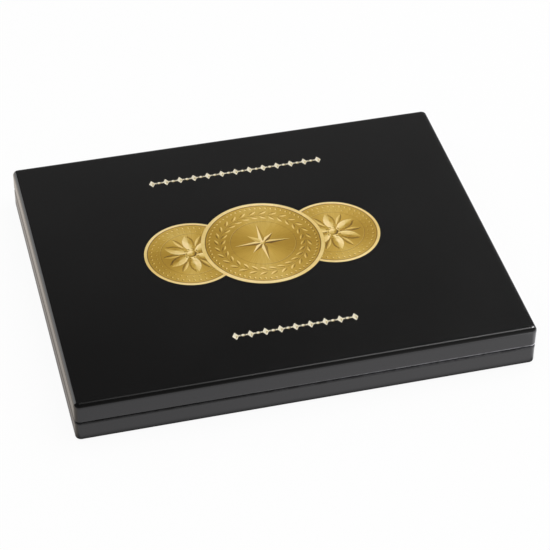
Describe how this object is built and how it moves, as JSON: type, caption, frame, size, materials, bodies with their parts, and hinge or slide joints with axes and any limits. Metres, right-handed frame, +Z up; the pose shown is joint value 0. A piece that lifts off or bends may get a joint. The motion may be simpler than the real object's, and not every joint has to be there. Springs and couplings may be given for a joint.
{
  "type": "coin display case",
  "caption": "Flat lacquered wooden display case for coins, with a lid hinged at the back, hidden magnets and a flocked insert with round recesses.",
  "frame": {"origin": "middle of the underside, on the face that rests on the table", "axes": "+X to the right along the front, +Y to the back where the hinges are, +Z up"},
  "size_m": [0.305, 0.2481, 0.0302],
  "materials": {
    "lacquered_wood": "black satin lacquer",
    "underside_felt": "pressed felt",
    "flocked_card": "flocked velour",
    "flocked_board": "flocked velour",
    "lining_card": "plain card",
    "lining_satin": "satin weave",
    "gold_print": "pale gold print",
    "hinge_brass": "satin brass",
    "pin_steel": "drawn wire",
    "screw_brass": "satin brass",
    "magnet_nickel": "nickel plate"
  },
  "bodies": {
    "base": {"base_panel": "lacquered_wood", "base_front_rail": "lacquered_wood", "base_back_rail": "lacquered_wood", "base_left_rail": "lacquered_wood", "base_right_rail": "lacquered_wood", "base_felt": "underside_felt", "insert_floor": "flocked_card", "insert_board": "flocked_board", "left_hinge_base_leaf": "hinge_brass", "left_hinge_pin": "pin_steel", "right_hinge_base_leaf": "hinge_brass", "right_hinge_pin": "pin_steel", "base_hinge_screws": "screw_brass", "base_magnets": "magnet_nickel"},
    "lid": {"lid_panel": "lacquered_wood", "lid_front_rail": "lacquered_wood", "lid_back_rail": "lacquered_wood", "lid_left_rail": "lacquered_wood", "lid_right_rail": "lacquered_wood", "lid_card": "lining_card", "lid_lining": "lining_satin", "lid_emblem": "gold_print", "lid_rules": "gold_print", "left_hinge_lid_leaf": "hinge_brass", "right_hinge_lid_leaf": "hinge_brass", "lid_hinge_screws": "screw_brass", "lid_magnets": "magnet_nickel"}
  },
  "joints": [
    {"name": "lid_hinge", "type": "hinge", "parent": "base", "child": "lid", "pos_m": [0, 0.1231, 0.015], "axis": [-1, 0, 0], "range_deg": [0, 100]}
  ]
}
